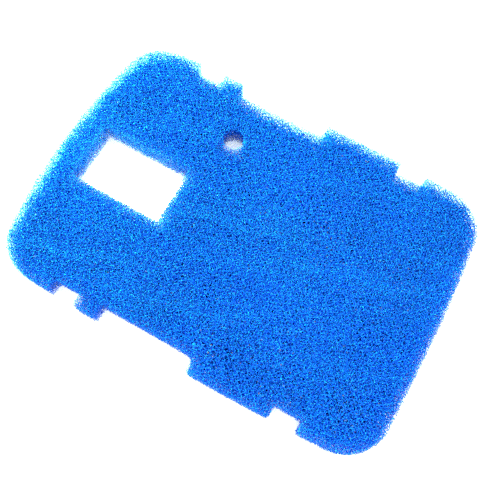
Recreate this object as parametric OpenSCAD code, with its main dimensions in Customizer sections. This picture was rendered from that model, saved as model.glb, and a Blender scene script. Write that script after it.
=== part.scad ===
// Flat foam pad for a box-shaped pond filter. It is one piece, die-cut from a sheet of
// coarse open-cell foam, with the same notches along both long edges, one rectangular
// window and one round hole. Millimetres, +Z up, the origin under the middle of the pad.

/* [Pad] */
// Overall length, end to end
pad_length = 400; // [320:1:560]
// Overall width across the middle
pad_width = 280; // [220:1:400]
// Thickness of the foam sheet
pad_thickness = 25; // [10:1:60]
// Radius of the four outer corners
corner_radius = 42; // [20:1:55]
// How far each long edge curves in by the ends of the pad
long_edge_bow = 5.4; // [2:0.1:8]
// How far the left end curves in by the long edges
left_end_bow = 16.4; // [6:0.1:20]
// How far the right end curves in by the long edges
right_end_bow = 4.8; // [2:0.1:20]

/* [Left notch, on both long edges] */
// From the left end to the notch's mouth
left_notch_inset = 73.5; // [68:0.5:76]
// Width of the notch
left_notch_width = 28; // [16:0.5:34]
// Rounding at the ends of its floor
left_notch_round = 4; // [1:0.5:5]

/* [Tab and long recess, on both long edges] */
// Width of the tab between the notch and the recess
tab_width = 21.5; // [15:0.5:30]
// Length of the recess
recess_length = 97.5; // [60:0.5:100]
// Depth of the recess below the widest line of the pad
recess_depth = 15; // [10:0.5:25]
// Rounding at the foot of the step at its right end
step_round = 8; // [2:0.5:8]

/* [Right notch, on both long edges] */
// From the right end to the notch's mouth
right_notch_inset = 70.5; // [66:0.5:80]
// Width of the notch
right_notch_width = 28; // [16:0.5:34]
// Rounding at the ends of its floor
right_notch_round = 3; // [1:0.5:5]

/* [All edge cuts] */
// Depth of both notches below the widest line of the pad
notch_depth = 14; // [11:0.5:22]
// Rounding of the outer lips and of the tab
lip_round = 2; // [0.5:0.5:2.5]

/* [Window] */
// From the left end to the window
window_inset = 27.8; // [20:0.1:40]
// Length of the window along the pad
window_length = 96; // [60:1:120]
// Width of the window across the pad
window_width = 60; // [30:1:90]
// How far the window's middle sits off the pad's middle line
window_offset = -2; // [-10:0.5:10]

/* [Round hole] */
// From the left end to the hole's middle
hole_inset = 144.6; // [125:0.1:200]
// From the widest line of the pad to the hole's middle
hole_edge = 61.2; // [35:0.1:64]
// Diameter of the hole
hole_diameter = 21.5; // [10:0.5:25]

/* [Hidden] */
foam_blue = [0.04, 0.45, 0.94];
through = 1;            // how far a cutter runs past each face
bore_facets = 96;       // drawn roundness of the hole
corner_steps = 12;      // chords round each outer corner
round_steps = 4;        // chords round each small rounding
end_steps = 6;          // chords along half an end
edge_chord = 16;        // longest chord along a long edge
half_length = pad_length / 2;
half_width = pad_width / 2;
left_notch_x0 = -half_length + left_notch_inset;
left_notch_x1 = left_notch_x0 + left_notch_width;
tab_x1 = left_notch_x1 + tab_width;
recess_x1 = tab_x1 + recess_length;
right_notch_x1 = half_length - right_notch_inset;
right_notch_x0 = right_notch_x1 - right_notch_width;
notch_floor = half_width - notch_depth;
recess_floor = half_width - recess_depth;
window_x0 = -half_length + window_inset;
window_y0 = window_offset - window_width / 2;
hole_x = -half_length + hole_inset;
hole_y = half_width - hole_edge;

// Radius of the circle that curves in by bow over half a side
function bow_radius(half, bow) = (half * half + bow * bow) / (2 * bow);

long_r = bow_radius(half_length, long_edge_bow);
left_r = bow_radius(half_width, left_end_bow);
right_r = bow_radius(half_width, right_end_bow);
long_c = [0, half_width - long_r];
left_c = [left_r - half_length, 0];
right_c = [half_length - right_r, 0];

// Where two circles cross; side +1 or -1 picks which of the two crossings
function crossing(c0, r0, c1, r1, side) =
  let (d = norm(c1 - c0))
  let (u = (c1 - c0) / d)
  let (along = (r0 * r0 - r1 * r1 + d * d) / (2 * d))
  let (across = sqrt(r0 * r0 - along * along))
  c0 + along * u + side * across * [-u[1], u[0]];

function angle_of(v) = atan2(v[1], v[0]);

// Points on an arc about c; a third value of 0 marks a point that is not rounded
function arc(c, r, a0, a1, steps) =
  [for (i = [0 : steps])
    let (a = a0 + (a1 - a0) * i / steps)
    [c[0] + r * cos(a), c[1] + r * sin(a), 0]];

// Height of the bowed long edge at x, and a lip or run of points on it
function edge_y(x) = long_c[1] + sqrt(long_r * long_r - x * x);
function lip(x) = [x, edge_y(x), lip_round];
function edge_run(x0, x1) =
  let (n = ceil(abs(x1 - x0) / edge_chord))
  [for (i = [1 : 1 : n - 1])
    let (x = x0 + (x1 - x0) * i / n)
    [x, edge_y(x), 0]];

// Outer corners, each tangent to a long edge and to an end
right_corner = crossing(long_c, long_r - corner_radius, right_c, right_r - corner_radius, -1);
left_corner = crossing(long_c, long_r - corner_radius, left_c, left_r - corner_radius, 1);
right_end_a = angle_of(right_corner - right_c);
right_long_a = angle_of(right_corner - long_c);
left_long_a = angle_of(left_corner - long_c);
left_end_a = angle_of(left_corner - left_c);
right_run_x = right_corner[0] + corner_radius * cos(right_long_a);
left_run_x = left_corner[0] + corner_radius * cos(left_long_a);

// Rear half of the outline, from the middle of the right end to that of the left end
rear_half = concat(
  arc(right_c, right_r, 0, right_end_a, end_steps),
  arc(right_corner, corner_radius, right_end_a, right_long_a, corner_steps),
  edge_run(right_run_x, right_notch_x1),
  [lip(right_notch_x1)],
  [[right_notch_x1, notch_floor, right_notch_round]],
  [[right_notch_x0, notch_floor, right_notch_round]],
  [lip(right_notch_x0)],
  edge_run(right_notch_x0, recess_x1),
  [lip(recess_x1)],
  [[recess_x1, recess_floor, step_round]],
  [[tab_x1, recess_floor, lip_round]],
  [lip(tab_x1)],
  edge_run(tab_x1, left_notch_x1),
  [lip(left_notch_x1)],
  [[left_notch_x1, notch_floor, left_notch_round]],
  [[left_notch_x0, notch_floor, left_notch_round]],
  [lip(left_notch_x0)],
  edge_run(left_notch_x0, left_run_x),
  arc(left_corner, corner_radius, left_long_a, left_end_a, corner_steps),
  arc(left_c, left_r, left_end_a, 180, end_steps)
);

// The front half is the same, mirrored, without the two points that they share
last = len(rear_half) - 1;
outline = concat(
  rear_half,
  [for (i = [last - 1 : -1 : 1]) [rear_half[i][0], -rear_half[i][1], rear_half[i][2]]]
);

// The arc that rounds the corner at b between a and c, with radius b[2]
function rounded(a, b, c) =
  let (p = [b[0], b[1]])
  let (u = ([a[0], a[1]] - p) / norm([a[0], a[1]] - p))
  let (v = ([c[0], c[1]] - p) / norm([c[0], c[1]] - p))
  let (half = acos(u * v) / 2)
  let (m = p + (u + v) / norm(u + v) * b[2] / sin(half))
  let (a0 = angle_of(p + u * b[2] / tan(half) - m))
  let (turn = angle_of(p + v * b[2] / tan(half) - m) - a0)
  let (sweep = turn > 180 ? turn - 360 : turn < -180 ? turn + 360 : turn)
  arc(m, b[2], a0, a0 + sweep, round_steps);

function at(i) = outline[(i + len(outline)) % len(outline)];
rounded_outline = [
  for (i = [0 : len(outline) - 1])
    each (at(i)[2] > 0 ? rounded(at(i - 1), at(i), at(i + 1)) : [at(i)])
];

// Drop the rounding value, and any point that repeats the one before it
function apart(i) = norm(rounded_outline[i] - rounded_outline[i - 1]) > 0.001;
pad_points = [
  for (i = [0 : len(rounded_outline) - 1])
    if (i == 0 || apart(i)) [rounded_outline[i][0], rounded_outline[i][1]]
];

module foam_pad() {
  color(foam_blue)
  difference() {
    linear_extrude(height = pad_thickness)
    polygon(points = pad_points);
    translate([window_x0, window_y0, -through])
    cube([window_length, window_width, pad_thickness + 2 * through]);
    translate([hole_x, hole_y, -through])
    cylinder(h = pad_thickness + 2 * through, d = hole_diameter, $fn = bore_facets);
  }
}

foam_pad();
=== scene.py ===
"""A flat filter foam pad lying on a white table: one die-cut piece of blue open-cell foam.
Sizes are in metres."""
from itertools import product
from math import radians

import bpy
import numpy as np
from mathutils import Euler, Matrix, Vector


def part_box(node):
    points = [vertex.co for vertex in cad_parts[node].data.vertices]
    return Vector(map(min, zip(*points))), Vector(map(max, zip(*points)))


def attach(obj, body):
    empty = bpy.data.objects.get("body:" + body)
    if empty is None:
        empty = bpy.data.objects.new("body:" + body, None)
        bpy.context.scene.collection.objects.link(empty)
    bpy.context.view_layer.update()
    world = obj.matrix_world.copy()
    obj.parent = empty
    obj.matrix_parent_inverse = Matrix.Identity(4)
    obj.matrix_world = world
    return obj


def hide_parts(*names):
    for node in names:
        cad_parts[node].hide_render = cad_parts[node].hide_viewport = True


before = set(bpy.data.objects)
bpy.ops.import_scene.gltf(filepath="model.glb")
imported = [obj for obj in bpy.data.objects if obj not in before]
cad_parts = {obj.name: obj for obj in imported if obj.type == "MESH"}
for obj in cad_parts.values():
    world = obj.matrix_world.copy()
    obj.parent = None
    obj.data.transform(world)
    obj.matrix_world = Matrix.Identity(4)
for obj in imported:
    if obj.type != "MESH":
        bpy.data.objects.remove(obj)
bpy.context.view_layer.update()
scene = bpy.context.scene

# ---------------------------------------------------------------------------------------
# Foam pad. One piece, die-cut from 25 mm sheet of coarse open-cell foam, which is all thin
# struts, four to a joint, so its cut edges are ragged and let light through. The net here is
# the packing of 14-sided cells that such foam comes closest to, bent and shaken a little.
# ---------------------------------------------------------------------------------------
TOP = dict(strut=0.0012, width=0.00050)    # a strut's length and width just under the top
WALL = dict(strut=0.0014, width=0.00040)   # the same near the cut walls
CORE = dict(strut=0.0024, width=0.00200)   # and in the middle, where little light reaches
TOP_DEPTH, WALL_DEPTH = 0.0030, 0.0080     # how deep the first two nets go
WAVES = (0.009, 0.021, 0.060)              # lengths of the slow waves in the net
BEND = 0.004            # how far the slow waves in the net move a joint, in all
SHAKE = 0.36            # how far a joint is moved on top of that, in strut lengths
LEAN = (1.54, 0.24, 0.84)  # radians that the rows of cells are turned, so that none lines up
FRAY = 0.0008           # how far a loose strut may stand out of a cut wall
LOOSE = 0.35            # share of the wall's struts that do
UNEVEN = 0.25           # how much the struts' widths differ
STUB = 0.08             # a cut strut is dropped if less than this share of it is left
PITCH = 0.0005          # spacing of the grid that holds the depth behind the cut walls
EDGE = 0.01             # how far that grid goes past the pad
WELD = 1e-6             # corners of the CAD node's triangles this close are one point
LEVEL = 1e-5            # how far under its highest point the node's flat top may be
random = np.random.default_rng(7)


def outline_of(node):
    """The edges of the node's flat top, as pairs of points on the plan: those edges that
    belong to only one triangle of the top."""
    mesh = node.data
    points = np.zeros(len(mesh.vertices) * 3)
    mesh.vertices.foreach_get("co", points)
    points = points.reshape(-1, 3)
    _, same = np.unique(np.round(points / WELD).astype(np.int64), axis=0, return_inverse=True)
    same = same.ravel()
    mesh.calc_loop_triangles()
    corners = np.zeros(len(mesh.loop_triangles) * 3, np.int32)
    mesh.loop_triangles.foreach_get("vertices", corners)
    corners = corners.reshape(-1, 3)
    top = corners[(points[corners][:, :, 2] > points[:, 2].max() - LEVEL).all(1)]
    edges = np.concatenate([top[:, [0, 1]], top[:, [1, 2]], top[:, [2, 0]]])
    names = np.sort(same[edges], axis=1)
    _, first, count = np.unique(names, axis=0, return_index=True, return_counts=True)
    return points[edges[first[count == 1]]][:, :, :2]


def depth_map(edges, low, high):
    """How far each point of a grid on the plan is inside the outline, negative outside:
    the distance to the nearest edge, signed by how many edges a line to +X crosses."""
    xs = np.arange(low[0], high[0] + PITCH, PITCH)
    ys = np.arange(low[1], high[1] + PITCH, PITCH)
    depth = np.full((len(ys), len(xs)), np.inf)
    inside = np.zeros((len(ys), len(xs)), bool)
    grid = np.stack(np.meshgrid(xs, ys), axis=-1)
    for a, b in edges:
        along = b - a
        share = np.clip(((grid - a) @ along) / (along @ along), 0, 1)
        away = np.linalg.norm(grid - a - share[..., None] * along, axis=-1)
        np.minimum(depth, away, out=depth)
        spans = (a[1] > ys) != (b[1] > ys)
        rise = along[1] if along[1] else 1
        meets = a[0] + (ys - a[1]) / rise * along[0]
        inside ^= spans[:, None] & (xs[None, :] < meets[:, None])
    return np.where(inside, depth, -depth)


def wall_depth(points):
    """How far each point is behind the nearest cut wall, from the grid's values at its
    four neighbours on the plan."""
    x, y = ((points[:, :2] - map_low) / PITCH).T
    i = np.clip(x.astype(int), 0, wall_map.shape[1] - 2)
    j = np.clip(y.astype(int), 0, wall_map.shape[0] - 2)
    u, v = np.clip(x - i, 0, 1), np.clip(y - j, 0, 1)
    near = wall_map[j, i] * (1 - u) + wall_map[j, i + 1] * u
    far = wall_map[j + 1, i] * (1 - u) + wall_map[j + 1, i + 1] * u
    return near * (1 - v) + far * v


def in_top(points, margin=0):
    """True for points near the pad's top. The margin widens that, here and below."""
    return points[:, 2] > pad_high[2] - TOP_DEPTH - margin


def in_wall(points, margin=0):
    """True for points under the top ones and near a cut wall."""
    below = points[:, 2] < pad_high[2] - TOP_DEPTH + margin
    return below & (wall_depth(points) < WALL_DEPTH + margin)


def in_core(points, margin=0):
    """True for points under the top ones and far from every cut wall."""
    below = points[:, 2] < pad_high[2] - TOP_DEPTH + margin
    return below & (wall_depth(points) > WALL_DEPTH - margin)


def cell_net(low, high, strut, wanted):
    """Joints and struts of the net in the part of a box where wanted(places, margin) is
    true. In quarters of a cell, a joint has one coordinate at 0, one at 2 and one at 1 or
    3, and a strut runs one quarter along each of two axes."""
    cell = strut * 4 / 2 ** 0.5
    spare = cell + BEND
    joints = {p for p in product(range(4), repeat=3)
              if sorted(c if c != 3 else 1 for c in p) == [0, 1, 2]}
    steps = [s for s in product((-1, 0, 1), repeat=3) if sum(map(abs, s)) == 2 and s > (0, 0, 0)]
    pairs = np.array([
        [p, tuple(np.add(p, s))] for p in sorted(joints) for s in steps
        if tuple(np.add(p, s) % 4) in joints
    ])
    turn = np.array(Euler(LEAN).to_matrix())
    middle = (low + high) / 2
    reach = int(np.linalg.norm(high - low) / 2 / cell) + 2
    count = np.arange(-reach, reach + 1)
    kept = []
    for layer in count:
        row = np.stack(np.meshgrid([layer], count, count, indexing="ij"), axis=-1).reshape(-1, 3)
        places = row * cell @ turn.T + middle
        near = ((places > low - spare) & (places < high + spare)).all(1)
        row, places = row[near], places[near]
        kept.append(row[wanted(places, spare)])
    cells = np.concatenate(kept)
    ends = (cells[:, None, None, :] * 4 + pairs[None]).reshape(-1, 3)
    span = 8 * reach + 16
    code = ((ends[:, 0] + span) * (2 * span) + ends[:, 1] + span) * (2 * span) + ends[:, 2] + span
    _, first, struts = np.unique(code, return_index=True, return_inverse=True)
    return ends[first] * (cell / 4) @ turn.T + middle, struts.reshape(-1, 2)


def shaken(points, strut):
    """Joints moved off their even places: slow waves across the pad, and a small random
    move of each joint."""
    moved = points.copy()
    for axis in range(3):
        for wave in WAVES:
            way = random.normal(size=3)
            way /= np.linalg.norm(way)
            phase = random.uniform(0, 2 * np.pi)
            share = BEND * wave / sum(WAVES)
            moved[:, axis] += share * np.sin(points @ way * 2 * np.pi / wave + phase)
    return moved + random.normal(size=points.shape) * strut * SHAKE


def trimmed(a, b, out):
    """Struts from a to b cut where they leave the pad: a share of each is kept, up to the
    first of its underside, its top and its cut walls, which they pass by the length out.
    Those wholly outside are dropped."""
    top = pad_high[2]
    limits = [
        (a[:, 2], b[:, 2]),
        (top - a[:, 2], top - b[:, 2]),
        (wall_depth(a) + out, wall_depth(b) + out),
    ]
    start, end = np.zeros(len(a)), np.ones(len(a))
    for at_a, at_b in limits:
        gone = (at_a <= 0) & (at_b <= 0)
        start[gone], end[gone] = 1, 0
        cut = at_a / np.where(at_a == at_b, 1, at_a - at_b)
        start = np.where((at_a <= 0) & (at_b > 0), np.maximum(start, cut), start)
        end = np.where((at_b <= 0) & (at_a > 0), np.minimum(end, cut), end)
    kept = end - start > STUB
    way = (b - a)[kept]
    return a[kept] + way * start[kept, None], a[kept] + way * end[kept, None]


def strut_mesh(name, a, b, width):
    """A closed four-sided sliver for each strut: an edge across it at one end, and at the
    other an edge square to that one. Nothing goes below the pad's underside."""
    way = b - a
    way /= np.linalg.norm(way, axis=1)[:, None]
    side = np.cross(way, random.normal(size=a.shape))
    side /= np.linalg.norm(side, axis=1)[:, None]
    other = np.cross(way, side)
    half = width[:, None] / 2
    points = np.stack([a + side * half, a - side * half, b + other * half, b - other * half], axis=1)
    points[:, :, 2] = np.maximum(points[:, :, 2], pad_low[2])
    faces = np.array([[0, 1, 2], [1, 0, 3], [2, 3, 0], [3, 2, 1]])
    faces = (np.arange(len(a))[:, None, None] * 4 + faces[None]).reshape(-1)
    mesh = bpy.data.meshes.new(name)
    mesh.vertices.add(len(a) * 4)
    mesh.vertices.foreach_set("co", points.reshape(-1).astype(np.float32))
    mesh.loops.add(len(faces))
    mesh.loops.foreach_set("vertex_index", faces.astype(np.int32))
    mesh.polygons.add(len(faces) // 3)
    mesh.polygons.foreach_set("loop_start", np.arange(0, len(faces), 3, dtype=np.int32))
    mesh.polygons.foreach_set("use_smooth", np.ones(len(faces) // 3, bool))
    mesh.update()
    return mesh


def foam_material():
    """Dyed foam: the tint changes from strut to strut and, slowly, across the sheet. Matt,
    with a little gloss that changes with the tint."""
    material = bpy.data.materials.new("foam_blue")
    material.use_nodes = True
    nodes, links = material.node_tree.nodes, material.node_tree.links
    shader = nodes["Principled BSDF"]
    shader.inputs["Specular IOR Level"].default_value = 0.1
    place = nodes.new("ShaderNodeTexCoord").outputs["Object"]
    fine = nodes.new("ShaderNodeTexNoise")
    fine.inputs["Scale"].default_value = 600
    fine.inputs["Detail"].default_value = 1
    links.new(place, fine.inputs["Vector"])
    tint = nodes.new("ShaderNodeValToRGB")
    deep, plain = tint.color_ramp.elements
    deep.position, deep.color = 0.36, (0.004, 0.165, 0.91, 1)
    plain.position, plain.color = 0.50, (0.005, 0.188, 0.95, 1)
    pale = tint.color_ramp.elements.new(0.68)
    pale.color = (0.035, 0.24, 0.97, 1)
    links.new(fine.outputs["Fac"], tint.inputs["Fac"])
    slow = nodes.new("ShaderNodeTexNoise")
    slow.inputs["Scale"].default_value = 16
    slow.inputs["Detail"].default_value = 3
    links.new(place, slow.inputs["Vector"])
    fade = nodes.new("ShaderNodeMapRange")
    fade.inputs["From Min"].default_value = 0.3
    fade.inputs["From Max"].default_value = 0.7
    fade.inputs["To Min"].default_value = 0.93
    fade.inputs["To Max"].default_value = 1.05
    links.new(slow.outputs["Fac"], fade.inputs["Value"])
    dye = nodes.new("ShaderNodeHueSaturation")
    links.new(tint.outputs["Color"], dye.inputs["Color"])
    links.new(fade.outputs["Result"], dye.inputs["Value"])
    links.new(dye.outputs["Color"], shader.inputs["Base Color"])
    gloss = nodes.new("ShaderNodeMapRange")
    gloss.inputs["To Min"].default_value = 0.36
    gloss.inputs["To Max"].default_value = 0.58
    links.new(fine.outputs["Fac"], gloss.inputs["Value"])
    links.new(gloss.outputs["Result"], shader.inputs["Roughness"])
    return material


pad_low, pad_high = (np.array(corner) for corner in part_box("foam_pad"))
map_low = pad_low[:2] - EDGE
outline = outline_of(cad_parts["foam_pad"])
wall_map = depth_map(outline, map_low, pad_high[:2] + EDGE)
parts = []
for net, wanted in ((TOP, in_top), (WALL, in_wall), (CORE, in_core)):
    joints, struts = cell_net(pad_low, pad_high, net["strut"], wanted)
    joints = shaken(joints, net["strut"])
    start, end = joints[struts[:, 0]], joints[struts[:, 1]]
    here = wanted((start + end) / 2)
    start, end = start[here], end[here]
    loose = random.random(len(start)) < LOOSE
    for some, out in ((~loose, 0.0), (loose, FRAY)):
        a, b = trimmed(start[some], end[some], out)
        parts.append((a, b, np.full(len(a), net["width"])))
start, end, widths = (np.concatenate(part) for part in zip(*parts))
widths = widths * random.lognormal(0, UNEVEN, len(start))
pad = bpy.data.objects.new("foam_pad_net", strut_mesh("foam_pad_net", start, end, widths))
pad.data.materials.append(foam_material())
scene.collection.objects.link(pad)
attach(pad, "root")
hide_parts("foam_pad")

# ---------------------------------------------------------------------------------------
# Table: a plain white top that glows faintly, so that the pad's shadow is light.
# ---------------------------------------------------------------------------------------
bpy.ops.mesh.primitive_plane_add(size=6, location=(0, 0, 0))
table = bpy.context.object
table.name = "table"
white = bpy.data.materials.new("table_white")
white.use_nodes = True
paint = white.node_tree.nodes["Principled BSDF"]
paint.inputs["Base Color"].default_value = (0.9, 0.9, 0.9, 1)
paint.inputs["Roughness"].default_value = 0.9
paint.inputs["Specular IOR Level"].default_value = 0.1
paint.inputs["Emission Color"].default_value = (0.8, 1.0, 1.0, 1)
paint.inputs["Emission Strength"].default_value = 0.35
table.data.materials.append(white)

# ---------------------------------------------------------------------------------------
# Lit plate: a small light box that lies in the pad's window and lights its cut walls. In
# the left half, away from the end's curve, the outline's only points near the pad's middle
# line are the window's corners.
# ---------------------------------------------------------------------------------------
NEAR_MIDDLE = 0.05      # how near that line they are
END_CURVE = 0.021       # how far from the left end its curve may reach
PLATE_GAP = 0.006       # between the plate and the window's walls
PLATE_TOP = 0.0005      # how high the plate lies
corners = outline.reshape(-1, 2)
in_band = np.abs(corners[:, 1]) < NEAR_MIDDLE
corners = corners[in_band & (corners[:, 0] > pad_low[0] + END_CURVE) & (corners[:, 0] < 0)]
(left, front), (right, back) = corners.min(axis=0) + PLATE_GAP, corners.max(axis=0) - PLATE_GAP
plate_mesh = bpy.data.meshes.new("lit_plate")
plate_mesh.from_pydata(
    [(x, y, PLATE_TOP) for x, y in ((left, front), (right, front), (right, back), (left, back))],
    [], [(0, 1, 2, 3)])
plate = bpy.data.objects.new("lit_plate", plate_mesh)
scene.collection.objects.link(plate)
glow = bpy.data.materials.new("plate_glow")
glow.use_nodes = True
lit = glow.node_tree.nodes["Principled BSDF"]
lit.inputs["Base Color"].default_value = (0.9, 0.9, 0.9, 1)
lit.inputs["Emission Color"].default_value = (0.6, 1.0, 0.25, 1)
lit.inputs["Emission Strength"].default_value = 16
plate_mesh.materials.append(glow)

# ---------------------------------------------------------------------------------------
# Light: a bright white tent all round, and one large low lamp beyond the left end, whose
# greenish light makes the pad's left and rear rims paler than its middle.
# ---------------------------------------------------------------------------------------
world = bpy.data.worlds.new("tent")
world.use_nodes = True
world.node_tree.nodes["Background"].inputs["Color"].default_value = (1, 1, 1, 1)
world.node_tree.nodes["Background"].inputs["Strength"].default_value = 2.1
scene.world = world
lamp = bpy.data.lights.new("low_lamp", "AREA")
lamp.shape = "RECTANGLE"
lamp.size, lamp.size_y = 0.7, 0.26
lamp.energy = 140
lamp.color = (0.05, 1.0, 0.30)
lamp_object = bpy.data.objects.new("low_lamp", lamp)
lamp_object.location = (-1.0, 0.32, 0.17)
lamp_object.rotation_euler = Vector((1.0, -0.32, -0.15)).to_track_quat("-Z", "Y").to_euler()
scene.collection.objects.link(lamp_object)

# ---------------------------------------------------------------------------------------
# Camera: above the near right of the pad, tilted 18 degrees from straight down. The noise
# filter stays off, because it would wipe out the grain of the foam.
# ---------------------------------------------------------------------------------------
camera = bpy.data.cameras.new("camera")
camera.lens = 43.2
camera_object = bpy.data.objects.new("camera", camera)
camera_object.location = (0.0838, -0.1730, 0.5571)
camera_object.rotation_euler = (radians(17.91), radians(-1.85), radians(29.10))
scene.collection.objects.link(camera_object)
scene.camera = camera_object
scene.view_settings.view_transform = "Standard"
scene.cycles.filter_width = 1.5
scene.cycles.use_denoising = False
scene.cycles.max_bounces = 24
scene.cycles.diffuse_bounces = 24
